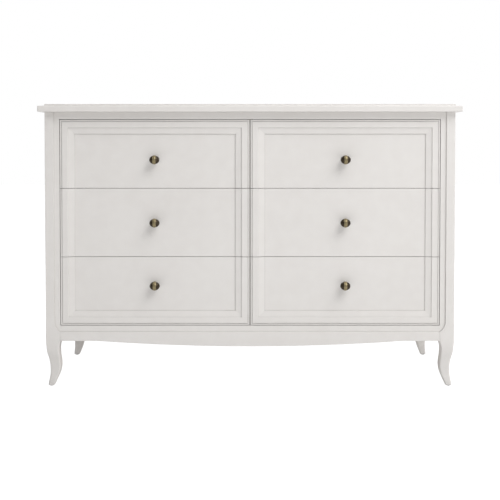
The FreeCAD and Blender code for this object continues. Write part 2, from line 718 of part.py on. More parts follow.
def slide_members(bank, row):
    """A drawer's two slides, as three pairs: the members on the case, in the middle and on the drawer."""
    z = slide_z(row)
    half = SLIDE_HEIGHT / 2
    step = SLIDE_SHEET + MEMBER_RACE
    middle_back = SLIDE_SHEET + MEMBER_SIDE_CLEARANCE
    middle_edge = SLIDE_WIDTH - SLIDE_SHEET - LIP_CLEARANCE
    inner_edge = middle_back + SLIDE_SHEET + MEMBER_SIDE_CLEARANCE
    case_edge = SLIDE_WIDTH - SLIDE_SHEET - MEMBER_RACE
    pairs = {"case": [], "middle": [], "inner": []}
    x0, x1 = bay_span(bank)
    for wall, inwards in ((x0, 1), (x1, -1)):
        pairs["case"].append(channel(0, case_edge, half, z, wall, inwards))
        pairs["middle"].append(channel(middle_back, middle_edge, half - step, z, wall, inwards))
        pairs["inner"].append(channel(SLIDE_WIDTH, inner_edge, half - 2 * step, z, wall, inwards))
    return pairs


def knob(bank, row):
    """A metal knob: an oval body turned about its long axis, with a raised band between two grooves."""
    x, z = knob_place(bank, row)
    seat_y = FACE_Y + PANEL_SINK
    centre_y = seat_y - KNOB_NECK_LENGTH - KNOB_HEIGHT / 2
    head = Part.Face(knob_outline()).revolve(V(0, 0, 0), V(1, 0, 0), 360)
    head.rotate(V(0, 0, 0), V(1, 0, 0), 90)
    head.translate(V(x, centre_y, z))
    neck = rod_y(x, z, KNOB_NECK_RADIUS, centre_y, seat_y)
    base = rod_y(x, z, KNOB_BASE_RADIUS, seat_y - KNOB_BASE_THICKNESS, seat_y)
    rim = edges_where(base, lambda b: near(b.YMax, seat_y - KNOB_BASE_THICKNESS))
    base = base.makeFillet(KNOB_BASE_ROUND, rim)
    bore = rod_y(x, z, SCREW_RADIUS + SCREW_THREAD_CLEARANCE, seat_y - SCREW_ENGAGEMENT - OVER, seat_y)
    body = head.fuse(neck).fuse(base).cut(bore)
    return Part.makeCompound([body, knob_screw(x, z, seat_y)])


def knob_outline():
    """Half of the knob's section, on one side of its long axis, which is X."""
    half, radius = KNOB_WIDTH / 2, KNOB_HEIGHT / 2
    band = KNOB_BAND_WIDTH / 2
    groove = band + KNOB_GROOVE_WIDTH
    shoulder = radius * sqrt(1 - (groove / half) ** 2)
    floor = shoulder - KNOB_GROOVE_DEPTH
    oval = Part.Ellipse(V(0, 0, 0), half, radius)
    lobe = Part.ArcOfEllipse(oval, 0, oval.parameter(V(groove, shoulder, 0))).toShape()
    ends = (
        (V(groove, shoulder, 0), V(groove, floor, 0)),
        (V(groove, floor, 0), V(band, floor, 0)),
        (V(band, floor, 0), V(band, radius, 0)),
    )
    right = [lobe] + [Part.LineSegment(a, b).toShape() for a, b in ends]
    crown = Part.Arc(V(band, radius, 0), V(0, radius + KNOB_BAND_RISE, 0), V(-band, radius, 0)).toShape()
    axis = Part.LineSegment(V(-half, 0, 0), V(half, 0, 0)).toShape()
    return Part.Wire(Part.__sortEdges__(right + [mirrored_x(e) for e in right] + [crown, axis]))


def knob_screw(x, z, seat_y):
    """The machine screw, with a round head inside the drawer."""
    shank = rod_y(x, z, SCREW_RADIUS, seat_y - SCREW_ENGAGEMENT, FRONT_BACK_Y)
    head = rod_y(x, z, SCREW_HEAD_RADIUS, FRONT_BACK_Y, FRONT_BACK_Y + SCREW_HEAD_THICKNESS)
    far = FRONT_BACK_Y + SCREW_HEAD_THICKNESS
    head = head.makeFillet(SCREW_HEAD_ROUND, edges_where(head, lambda b: near(b.YMin, far)))
    return shank.fuse(head)


def make_drawers():
    """Writes every drawer's pieces, and returns all the slide members that stay on the case."""
    on_case = []
    for bank in BANKS:
        for row in ROWS:
            name = row + "_" + bank + "_drawer_"
            sides, bottom = box_sides(bank, row), box_bottom(bank, row)
            back = box_back(bank, row)
            groove = grown(bottom, FIT)
            save(drawer_front(bank, row, sides + [bottom]), name + "front")
            save(Part.makeCompound([s.cut(groove) for s in sides]), name + "box_sides")
            save(back.cut(groove), name + "box_back")
            save(bottom, name + "box_bottom")
            save(knob(bank, row), name + "knob")
            members = slide_members(bank, row)
            save(Part.makeCompound(members["inner"]), name + "inner_slides")
            save(Part.makeCompound(members["middle"]), name + "middle_slides")
            on_case += members["case"]
    return on_case


def make_case():
    """Writes every piece that stays still."""
    tenons = rail_tenons()
    mortises = [grown(t, FIT) for pair in tenons.values() for t in pair]
    mortises += [grown(t, FIT) for t in side_tongues()] + [grown(back_panel(), FIT)]
    for place in ("front", "rear"):
        leg = leg_post(place == "front")
        for mortise in mortises:
            leg = leg.cut(mortise)
        save(leg, place + "_right_leg")
        save(mirrored_x(leg), place + "_left_leg")
    save(top_board(), "top_board")
    save(top_screws(), "top_screws")
    save(front_top_rail(tenons["front_top"]), "front_top_rail")
    save(front_apron(tenons["front_apron"]), "front_apron")
    save(rear_top_rail(tenons["rear_top"]), "rear_top_rail")
    low = APRON_TOP - REAR_BOTTOM_RAIL_HEIGHT
    save(rear_rail(low, APRON_TOP, tenons["rear_bottom"]), "rear_bottom_rail")
    save(back_panel(), "back_panel")
    save(bottom_panel(), "bottom_panel")
    save(centre_partition(), "centre_partition")
    save(slide_cleats(), "slide_cleats")
    save(foot_glides(), "foot_glides")
    for shape, name in ((side_panel(), "side_panels"), (side_apron(tenons["side_apron"]), "side_aprons")):
        save(Part.makeCompound([shape, mirrored_x(shape)]), name)


os.makedirs("parts", exist_ok=True)
make_case()
save(Part.makeCompound(make_drawers()), "case_slides")
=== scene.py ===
"""Looks for a wide white dresser with two banks of three drawers, on S-curved legs.

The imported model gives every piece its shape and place. This script gives each piece its finish, adds the
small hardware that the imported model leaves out, and sets up the studio. Lengths are in metres, +X to the
right of someone who faces the drawers, +Y to the back, +Z up.
"""

import logging
import math
from dataclasses import dataclass, field
from enum import Enum
from typing import Any, Sequence

import bmesh
import bpy
from mathutils import Matrix, Vector


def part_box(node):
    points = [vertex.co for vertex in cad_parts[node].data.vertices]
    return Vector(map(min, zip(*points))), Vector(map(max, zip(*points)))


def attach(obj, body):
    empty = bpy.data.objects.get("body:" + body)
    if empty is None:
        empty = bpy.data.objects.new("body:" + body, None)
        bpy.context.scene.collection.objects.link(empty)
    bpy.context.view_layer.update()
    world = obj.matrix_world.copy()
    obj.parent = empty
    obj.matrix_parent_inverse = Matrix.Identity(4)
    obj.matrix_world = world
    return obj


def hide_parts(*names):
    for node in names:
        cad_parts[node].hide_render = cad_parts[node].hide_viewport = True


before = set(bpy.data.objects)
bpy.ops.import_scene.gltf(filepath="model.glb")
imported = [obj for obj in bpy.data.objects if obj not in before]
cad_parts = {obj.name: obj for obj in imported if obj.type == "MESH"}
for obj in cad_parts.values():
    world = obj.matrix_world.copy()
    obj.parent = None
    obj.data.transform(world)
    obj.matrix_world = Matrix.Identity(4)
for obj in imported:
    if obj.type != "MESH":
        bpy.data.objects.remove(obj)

CASE_BODY = "case"
log = logging.getLogger("dresser")

Colour = tuple[float, float, float]
Place = tuple[float, float, float]
Span = tuple[float, float]

AXES = 3
EVEN = (1.0, 1.0, 1.0)
WHITE = (1.0, 1.0, 1.0, 1.0)
SMOOTH_ANGLE = math.radians(34)
# a domed screw head and its cross recess: share of the height, share of the radius and, in the recess, how
# much of the radius is lost between its arms
SCREW_HEAD = (
    (0.00, 0.00), (0.00, 1.00), (0.30, 1.00), (0.62, 0.93), (0.86, 0.76), (1.00, 0.55),
    (1.00, 0.50, 0.72), (0.42, 0.34, 0.72), (0.30, 0.00),
)
# a soft pad and a driven pin, from the seat to the crown: share of the height, share of the radius
PAD_OUTLINE = ((0.0, 0.0), (0.0, 1.0), (0.45, 1.0), (0.8, 0.86), (1.0, 0.55), (1.0, 0.0))
PIN_OUTLINE = ((0.0, 0.0), (0.0, 1.0), (0.35, 0.95), (0.75, 0.66), (1.0, 0.25), (1.0, 0.0))
# one side of a knob's band, from its edge to its crown: share of the half width, share of the rise
BAND_OUTLINE = (
    (1.00, -0.25), (0.94, 0.10), (0.86, 0.10), (0.80, -0.10), (0.74, 0.12), (0.50, 0.62), (0.25, 0.90),
)
# a knob's stepped base: share of the base's thickness, share of its radius
BASE_OUTLINE = (
    (0.0, 0.0), (0.0, 1.0), (0.35, 1.0), (0.5, 0.96), (0.55, 0.88), (0.9, 0.86), (1.0, 0.80), (1.0, 0.72),
)
# a knob's waisted neck: distance in base thicknesses, share of the neck's radius
NECK_OUTLINE = ((1.3, 1.08), (1.9, 0.92), (2.9, 0.86), (3.7, 0.98), (4.6, 1.2))
# the washer under a knob's screw: share of the thickness, share of the radius
WASHER_OUTLINE = ((0.0, 0.0), (0.0, 1.0), (0.7, 1.0), (1.0, 0.95), (1.0, 0.0))


class Slot(Enum):
    """The record's material slots, one for each kind of new piece."""

    BRASS = "antique_brass"
    STEEL = "zinc_steel"
    PLASTIC = "glide_plastic"


class Along(Enum):
    """The direction in which a board's grain, or a sheet's rolling marks, run."""

    X = 0
    Y = 1
    Z = 2


class Bank(Enum):
    """The two stacks of drawers, as someone facing them sees them."""

    LEFT = "left"
    RIGHT = "right"


class Row(Enum):
    """The three drawers of a bank."""

    BOTTOM = "bottom"
    MIDDLE = "middle"
    TOP = "top"


def darker(colour: Colour, share: float) -> Colour:
    """A colour with each of its channels times a share."""
    return tuple(channel * share for channel in colour)


def stretched(along: Along, lengthwise: float, across: float = 1.0) -> list[float]:
    """How fine a pattern is along each axis, where it is drawn out along one of them."""
    return [lengthwise if axis == along.value else across for axis in range(AXES)]


def scaled(outline: Sequence[Sequence[float]], height: float, radius: float) -> list[list[float]]:
    """An outline of shares as lengths; what follows a ring's first two values is kept."""
    return [[height * up, radius * out, *rest] for up, out, *rest in outline]


class Graph:
    """A material's node graph, with short calls for the nodes that the finishes share."""

    BEVEL_SAMPLES = 6
    OPENNESS_SAMPLES = 8
    EDGE_SPAN = (0.995, 0.86)
    HOLLOW_SPAN = (0.95, 0.35)
    MIX_SHARE = 0
    MIX_FIRST = 6
    MIX_SECOND = 7
    MIX_RESULT = 2

    def __init__(self, name: str) -> None:
        """Makes an empty material with its output and its main shader.

        Args:
            name: the material's name.
        """
        self.material = bpy.data.materials.new(name)
        self.material.use_nodes = True
        self.tree = self.material.node_tree
        self.tree.nodes.clear()
        output = self.tree.nodes.new("ShaderNodeOutputMaterial")
        self.shader = self.tree.nodes.new("ShaderNodeBsdfPrincipled")
        self.tree.links.new(self.shader.outputs[0], output.inputs[0])

    def node(self, kind: str, settings: dict[str, Any], inputs: dict[Any, Any]) -> bpy.types.Node:
        """Adds one node.

        Args:
            kind: the node's type name, without its "ShaderNode" prefix.
            settings: attributes of the node.
            inputs: input name or number to a value, or to a socket that is linked to it.

        Returns:
            The new node.
        """
        made = self.tree.nodes.new("ShaderNode" + kind)
        for key, value in settings.items():
            setattr(made, key, value)
        for key, value in inputs.items():
            self.feed(made, key, value)
        return made

    def feed(self, node: bpy.types.Node, key: Any, value: Any) -> None:
        """Links a socket to a node's input, or sets the input's own value.

        Args:
            node: the node.
            key: the input's name or number.
            value: a socket or a plain value.
        """
        if isinstance(value, bpy.types.NodeSocket):
            self.tree.links.new(value, node.inputs[key])
        else:
            node.inputs[key].default_value = value

    def place(self, stretch: Sequence[float] = EVEN) -> bpy.types.NodeSocket:
        """The point on the piece, in metres, scaled along each axis."""
        point = self.node("TexCoord", {}, {}).outputs["Object"]
        return self.node("Mapping", {}, {"Vector": point, "Scale": tuple(stretch)}).outputs[0]

    def noise(
        self, scale: float, stretch: Sequence[float] = EVEN, detail: float = 3.0, roughness: float = 0.5,
        distortion: float = 0.0,
    ) -> bpy.types.NodeSocket:
        """A noise value about 0.5 at each point.

        Args:
            scale: features to the metre, about.
            stretch: how much finer the noise is along each axis.
            detail: how many finer layers are added.
            roughness: the strength of the finer layers.
            distortion: how far the pattern is warped.

        Returns:
            The socket with the value.
        """
        inputs = {
            "Vector": self.place(stretch), "Scale": scale, "Detail": detail, "Roughness": roughness,
            "Distortion": distortion,
        }
        return self.node("TexNoise", {}, inputs).outputs["Fac"]

    def span(self, value: Any, start: Span, result: Span = (0.0, 1.0)) -> bpy.types.NodeSocket:
        """The value carried from one range to another, and held inside it."""
        inputs = {"Value": value}
        inputs["From Min"], inputs["From Max"] = start
        inputs["To Min"], inputs["To Max"] = result
        return self.node("MapRange", {"clamp": True}, inputs).outputs[0]

    def math(self, operation: str, a: Any, b: Any) -> bpy.types.NodeSocket:
        """One operation on two values."""
        return self.node("Math", {"operation": operation}, {0: a, 1: b}).outputs[0]

    def mix(self, share: Any, a: Any, b: Any) -> bpy.types.NodeSocket:
        """Two colours mixed by a share.

        Args:
            share: how much of the second colour is taken.
            a: the first colour, or its socket.
            b: the second colour, or its socket.

        Returns:
            The socket with the mixed colour.
        """
        a, b = (c if isinstance(c, bpy.types.NodeSocket) else (*c, 1.0) for c in (a, b))
        inputs = {self.MIX_SHARE: share, self.MIX_FIRST: a, self.MIX_SECOND: b}
        return self.node("Mix", {"data_type": "RGBA"}, inputs).outputs[self.MIX_RESULT]

    def edges(self, radius: float) -> bpy.types.NodeSocket:
        """Finds the piece's edges.

        Args:
            radius: how far from an edge its mark reaches.

        Returns:
            The socket with a value near 1 on edges and 0 on faces.
        """
        soft = self.node("Bevel", {"samples": self.BEVEL_SAMPLES}, {"Radius": radius}).outputs[0]
        true = self.node("NewGeometry", {}, {}).outputs["True Normal"]
        dot = self.node("VectorMath", {"operation": "DOT_PRODUCT"}, {0: soft, 1: true}).outputs["Value"]
        return self.span(dot, self.EDGE_SPAN)

    def hollows(self, reach: float) -> bpy.types.NodeSocket:
        """Near 1 deep in corners and recesses, and 0 in the open."""
        openness = self.node("AmbientOcclusion", {"samples": self.OPENNESS_SAMPLES}, {"Distance": reach})
        return self.span(openness.outputs["AO"], self.HOLLOW_SPAN)

    def relief(self, height: Any, depth: float, round_edges: float) -> None:
        """Gives the shader a bumped surface with slightly rounded edges.

        Args:
            height: a value from 0 to 1.
            depth: the height in metres from 0 to 1.
            round_edges: the radius that sharp edges are shaded with, in metres.
        """
        soft = self.node("Bevel", {"samples": self.BEVEL_SAMPLES}, {"Radius": round_edges}).outputs[0]
        inputs = {"Height": height, "Distance": depth, "Strength": 1.0, "Normal": soft}
        bump = self.node("Bump", {}, inputs)
        self.feed(self.shader, "Normal", bump.outputs[0])


@dataclass(frozen=True)
class Finish:
    """A named material that is drawn as a node graph."""

    name: str

    def build(self) -> bpy.types.Material:
        """Makes the material.

        Returns:
            The new material.
        """
        g = Graph(self.name)
        self.draw(g)
        return g.material

    def draw(self, g: Graph) -> None:
        """Adds the finish's own nodes."""
        raise NotImplementedError


@dataclass(frozen=True)
class PaintFinish(Finish):
    """Sprayed satin paint over wood: a faint orange peel, the grain's ghost, softer, paler edges, and painted
    shade in its creases.
    """

    along: Along
    colour: Colour = (0.805, 0.778, 0.752)
    shade: Colour = (0.775, 0.747, 0.720)
    worn: Colour = (0.85, 0.83, 0.805)
    grain_scale: float = 420.0
    grain_stretch: float = 0.06
    peel_scale: float = 950.0
    cloud_scale: float = 3.2
    cloud_span: Span = (0.30, 0.70)
    blotch_scale: float = 28.0
    blotch_span: Span = (0.35, 0.75)
    blotch_share: float = 0.35
    edge_radius: float = 0.0012
    edge_wear: float = 0.55
    # the next three set painted shade: the paint is darkened in creases and recesses, where shade falls
    painted_shade_reach: float = 0.005
    painted_shade_share: float = 0.55
    painted_shade_tint: float = 0.66
    gloss_span: Span = (0.25, 0.75)
    roughness: Span = (0.37, 0.49)
    ior: float = 1.47
    coat: float = 0.08
    coat_roughness: float = 0.30
    peel_share: float = 0.5
    relief_depth: float = 0.00011

    def draw(self, g: Graph) -> None:
        """Adds the finish's own nodes."""
        fibres = stretched(self.along, self.grain_stretch)
        grain = g.noise(self.grain_scale, fibres, detail=4.0, roughness=0.62)
        peel = g.noise(self.peel_scale, detail=2.0)
        cloud = g.noise(self.cloud_scale, detail=4.0)
        blotch = g.noise(self.blotch_scale, detail=3.0)
        tone = g.mix(g.span(cloud, self.cloud_span), self.colour, self.shade)
        tone = g.mix(g.span(blotch, self.blotch_span, (0.0, self.blotch_share)), tone, self.worn)
        tone = g.mix(g.math("MULTIPLY", g.edges(self.edge_radius), self.edge_wear), tone, self.worn)
        # painted shade: the colour is darkened in creases and recesses, towards a darker copy of the paint
        painted_shade = g.math("MULTIPLY", g.hollows(self.painted_shade_reach), self.painted_shade_share)
        tone = g.mix(painted_shade, tone, darker(self.shade, self.painted_shade_tint))
        g.feed(g.shader, "Base Color", tone)
        g.feed(g.shader, "Roughness", g.span(grain, self.gloss_span, self.roughness))
        g.feed(g.shader, "IOR", self.ior)
        g.feed(g.shader, "Coat Weight", self.coat)
        g.feed(g.shader, "Coat Roughness", self.coat_roughness)
        fine = g.math("MULTIPLY", peel, self.peel_share)
        height = g.math("ADD", fine, g.math("MULTIPLY", grain, 1 - self.peel_share))
        g.relief(height, self.relief_depth, self.edge_radius / 2)


@dataclass(frozen=True)
class WoodFinish(Finish):
    """Bare or lacquered wood with growth rings cut lengthwise, pores and a little scuffing."""

    along: Along
    light: Colour
    dark: Colour
    lacquer: float = 0.25
    lacquer_roughness: float = 0.32
    roughness: float = 0.5
    roughness_spread: Span = (-0.06, 0.16)
    gloss_span: Span = (0.3, 0.8)
    ring_width: float = 0.011
    wave_scale: float = 0.32
    ring_stretch: float = 0.10
    ring_span: Span = (0.10, 0.85)
    warp_scale: float = 7.0
    warp_stretch: float = 0.05
    warp_reach: float = 0.10
    pore_scale: float = 60.0
    pore_across: float = 26.0
    pore_lengthwise: float = 0.7
    pore_span: Span = (0.52, 0.78)
    pore_share: float = 0.55
    pore_tint: float = 0.62
    cloud_scale: float = 5.0
    cloud_span: Span = (0.35, 0.70)
    cloud_share: float = 0.30
    edge_radius: float = 0.001
    edge_wear: float = 0.4
    grime_reach: float = 0.02
    grime_share: float = 0.35
    grime_tint: float = 0.5
    ring_relief: float = 0.3
    relief_depth: float = 0.00012
    round_edges: float = 0.0006

    def build_rings(self, g: Graph) -> bpy.types.NodeSocket:
        """Draws the growth rings as long, slightly wandering lines.

        Args:
            g: the material's graph.

        Returns:
            The socket with each ring's value, from 0 to 1 across it.
        """
        warp = g.noise(self.warp_scale, stretched(self.along, self.warp_stretch), detail=3.0)
        across = g.place(stretched(self.along, self.ring_stretch))
        reach = (self.warp_reach,) * AXES
        offset = g.node("VectorMath", {"operation": "MULTIPLY_ADD"}, {0: warp, 1: reach, 2: across})
        settings = {"wave_type": "RINGS", "rings_direction": "SPHERICAL", "wave_profile": "SAW"}
        inputs = {
            "Vector": offset.outputs[0], "Scale": self.wave_scale / self.ring_width, "Distortion": 1.4,
            "Detail": 2.0, "Detail Scale": 1.5,
        }
        return g.node("TexWave", settings, inputs).outputs["Fac"]

    def draw(self, g: Graph) -> None:
        """Adds the finish's own nodes."""
        rings = self.build_rings(g)
        fibres = stretched(self.along, self.pore_lengthwise, self.pore_across)
        pore = g.noise(self.pore_scale, fibres, detail=3.0, roughness=0.7)
        cloud = g.noise(self.cloud_scale, detail=3.0)
        tone = g.mix(g.span(rings, (0.0, 1.0), self.ring_span), self.light, self.dark)
        pores = g.span(pore, self.pore_span, (0.0, self.pore_share))
        tone = g.mix(pores, tone, darker(self.dark, self.pore_tint))
        tone = g.mix(g.span(cloud, self.cloud_span, (0.0, self.cloud_share)), tone, self.light)
        tone = g.mix(g.math("MULTIPLY", g.edges(self.edge_radius), self.edge_wear), tone, self.light)
        grime = g.math("MULTIPLY", g.hollows(self.grime_reach), self.grime_share)
        tone = g.mix(grime, tone, darker(self.dark, self.grime_tint))
        g.feed(g.shader, "Base Color", tone)
        rough = tuple(self.roughness + spread for spread in self.roughness_spread)
        g.feed(g.shader, "Roughness", g.span(pore, self.gloss_span, rough))
        g.feed(g.shader, "Coat Weight", self.lacquer)
        g.feed(g.shader, "Coat Roughness", self.lacquer_roughness)
        height = g.math("SUBTRACT", g.math("MULTIPLY", rings, self.ring_relief), pore)
        g.relief(height, self.relief_depth, self.round_edges)


@dataclass(frozen=True)
class BrassFinish(Finish):
    """Antique brass: darkened in its hollows and rubbed back to metal on its high parts."""

    body: Colour
    dark: Colour
    rubbed: Colour
    roughness: float = 0.40
    roughness_spread: Span = (-0.08, 0.12)
    gloss_span: Span = (0.2, 0.8)
    metallic: float = 0.85
    mottle_scale: float = 420.0
    mottle_span: Span = (0.30, 0.72)
    grit_scale: float = 2600.0
    grit_share: float = 0.4
    edge_radius: float = 0.0009
    rub_span: Span = (0.25, 0.6)
    rub_share: Span = (0.45, 0.9)
    tarnish_reach: float = 0.0025
    relief_depth: float = 0.00005
    round_edges: float = 0.0003

    def draw(self, g: Graph) -> None:
        """Adds the finish's own nodes."""
        mottle = g.noise(self.mottle_scale, detail=5.0, roughness=0.65)
        grit = g.noise(self.grit_scale, detail=2.0)
        tone = g.mix(g.span(mottle, self.mottle_span), self.body, self.dark)
        rub = g.math("MULTIPLY", g.edges(self.edge_radius), g.span(mottle, self.rub_span, self.rub_share))
        tone = g.mix(rub, tone, self.rubbed)
        tone = g.mix(g.hollows(self.tarnish_reach), tone, self.dark)
        g.feed(g.shader, "Base Color", tone)
        g.feed(g.shader, "Metallic", self.metallic)
        rough = tuple(self.roughness + spread for spread in self.roughness_spread)
        g.feed(g.shader, "Roughness", g.span(mottle, self.gloss_span, rough))
        height = g.math("ADD", mottle, g.math("MULTIPLY", grit, self.grit_share))
        g.relief(height, self.relief_depth, self.round_edges)


@dataclass(frozen=True)
class SteelFinish(Finish):
    """Zinc-plated rolled steel with drawing marks along its length and spangle."""

    along: Along = Along.Y
    bright: Colour = (0.66, 0.67, 0.68)
    dull: Colour = (0.54, 0.55, 0.56)
    line_scale: float = 1800.0
    line_stretch: float = 0.02
    spangle_scale: float = 130.0
    spangle_span: Span = (0.35, 0.65)
    dirt_reach: float = 0.003
    dirt_share: float = 0.6
    dirt_tint: float = 0.35
    gloss_span: Span = (0.25, 0.75)
    roughness: Span = (0.24, 0.42)
    relief_depth: float = 0.00004
    round_edges: float = 0.0002

    def draw(self, g: Graph) -> None:
        """Adds the finish's own nodes."""
        lines = g.noise(self.line_scale, stretched(self.along, self.line_stretch), detail=3.0)
        spangle = g.noise(self.spangle_scale, detail=2.0, distortion=0.8)
        tone = g.mix(g.span(spangle, self.spangle_span), self.bright, self.dull)
        dirt = g.math("MULTIPLY", g.hollows(self.dirt_reach), self.dirt_share)
        tone = g.mix(dirt, tone, darker(self.dull, self.dirt_tint))
        g.feed(g.shader, "Base Color", tone)
        g.feed(g.shader, "Metallic", 1.0)
        g.feed(g.shader, "Roughness", g.span(lines, self.gloss_span, self.roughness))
        g.relief(lines, self.relief_depth, self.round_edges)


@dataclass(frozen=True)
class HardboardFinish(Finish):
    """Pressed fibre board with a fine felt of fibres."""

    light: Colour = (0.44, 0.31, 0.19)
    dark: Colour = (0.25, 0.165, 0.095)
    felt_scale: float = 240.0
    felt_span: Span = (0.30, 0.72)
    cloud_scale: float = 6.0
    cloud_span: Span = (0.3, 0.75)
    cloud_share: float = 0.35
    gloss_span: Span = (0.3, 0.7)
    roughness: Span = (0.55, 0.75)
    relief_depth: float = 0.00010
    round_edges: float = 0.0003

    def draw(self, g: Graph) -> None:
        """Adds the finish's own nodes."""
        felt = g.noise(self.felt_scale, detail=5.0, roughness=0.7, distortion=0.6)
        cloud = g.noise(self.cloud_scale, detail=4.0)
        tone = g.mix(g.span(felt, self.felt_span), self.light, self.dark)
        tone = g.mix(g.span(cloud, self.cloud_span, (0.0, self.cloud_share)), tone, self.light)
        g.feed(g.shader, "Base Color", tone)
        g.feed(g.shader, "Roughness", g.span(felt, self.gloss_span, self.roughness))
        g.relief(felt, self.relief_depth, self.round_edges)


@dataclass(frozen=True)
class PlasticFinish(Finish):
    """Moulded plastic with a fine spark texture and scuffs."""

    colour: Colour = (0.17, 0.165, 0.16)
    scuffed: Colour = (0.34, 0.33, 0.32)
    spark_scale: float = 3000.0
    scuff_scale: float = 300.0
    scuff_span: Span = (0.5, 0.8)
    scuff_share: float = 0.6
    gloss_span: Span = (0.3, 0.8)
    roughness: Span = (0.45, 0.65)
    relief_depth: float = 0.00003
    round_edges: float = 0.0003

    def draw(self, g: Graph) -> None:
        """Adds the finish's own nodes."""
        spark = g.noise(self.spark_scale, detail=2.0)
        scuff = g.noise(self.scuff_scale, detail=4.0)
        tone = g.mix(g.span(scuff, self.scuff_span, (0.0, self.scuff_share)), self.colour, self.scuffed)
        g.feed(g.shader, "Base Color", tone)
        g.feed(g.shader, "Roughness", g.span(scuff, self.gloss_span, self.roughness))
        g.relief(spark, self.relief_depth, self.round_edges)


class Shaper:
    """Collects the faces of one new piece, and makes an object of them."""

    LOBE_SHARPNESS = 5

    def __init__(self) -> None:
        """Starts with no faces."""
        self.mesh = bmesh.new()

    def turned(self, outline: Sequence[Sequence[float]], origin: Vector, axis: Vector, segments: int) -> None:
        """Adds a body turned about an axis.

        Args:
            outline: for each ring the distance along the axis, the radius and, if the ring has four lobes
                like a cross recess, how much of the radius is lost between them.
            origin: the point of the axis that distances are counted from.
            axis: the axis's direction.
            segments: faces round the body.
        """
        axis = axis.normalized()
        side = axis.orthogonal().normalized()
        other = axis.cross(side)
        rings = []
        for along, radius, *lobes in outline:
            lost = lobes[0] if lobes else 0.0
            centre = origin + axis * along
            if radius <= 0.0:
                rings.append([self.mesh.verts.new(centre)])
                continue
            ring = []
            for n in range(segments):
                angle = 2 * math.pi * n / segments
                reach = radius * (1 - lost * (1 - abs(math.cos(2 * angle)) ** self.LOBE_SHARPNESS))
                point = centre + (side * math.cos(angle) + other * math.sin(angle)) * reach
                ring.append(self.mesh.verts.new(point))
            rings.append(ring)
        for a, b in zip(rings, rings[1:]):
            for n in range(segments):
                m = (n + 1) % segments
                corners = [a[n % len(a)], b[n % len(b)], b[m % len(b)], a[m % len(a)]]
                self.mesh.faces.new(list(dict.fromkeys(corners)))

    def bar(self, low: Sequence[float], high: Sequence[float], rounding: float) -> None:
        """Adds a box with rounded edges.

        Args:
            low: one corner.
            high: the corner across from it.
            rounding: how far the rounding reaches from each edge.
        """
        size = [abs(b - a) for a, b in zip(low, high)]
        centre = [(a + b) / 2 for a, b in zip(low, high)]
        matrix = Matrix.Translation(centre) @ Matrix.Diagonal((*size, 1.0))
        made = bmesh.ops.create_cube(self.mesh, size=1.0, matrix=matrix)
        edges = list({e for v in made["verts"] for e in v.link_edges})
        bmesh.ops.bevel(self.mesh, geom=edges, offset=rounding, segments=2, profile=0.5, affect="EDGES")

    def ball(self, centre: Sequence[float], radius: float) -> None:
        """Adds a ball."""
        place = Matrix.Translation(centre)
        bmesh.ops.create_icosphere(self.mesh, subdivisions=2, radius=radius, matrix=place)

    def screw_head(self, seat: Vector, outwards: Vector, radius: float, height: float) -> None:
        """Adds a low domed screw head with a cross recess, its flat side on the seat."""
        self.turned(scaled(SCREW_HEAD, height, radius), seat, outwards, segments=40)

    def piece(self, name: str, body: str, slot: Slot, material: bpy.types.Material) -> bpy.types.Object:
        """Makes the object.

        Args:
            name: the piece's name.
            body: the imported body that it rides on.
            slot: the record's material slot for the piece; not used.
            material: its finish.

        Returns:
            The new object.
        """
        bmesh.ops.recalc_face_normals(self.mesh, faces=self.mesh.faces)
        data = bpy.data.meshes.new(name)
        self.mesh.to_mesh(data)
        self.mesh.free()
        data.shade_smooth()
        data.set_sharp_from_angle(angle=SMOOTH_ANGLE)
        data.materials.append(material)
        made = bpy.data.objects.new(name, data)
        bpy.context.scene.collection.objects.link(made)
        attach(made, body)
        log.info("%s made", name)
        return made


def dress(node: str, material: bpy.types.Material) -> None:
    """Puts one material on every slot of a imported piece.

    Args:
        node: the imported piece's name.
        material: the finish.
    """
    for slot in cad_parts[node].material_slots:
        slot.material = material
    log.info("%s dressed", node)


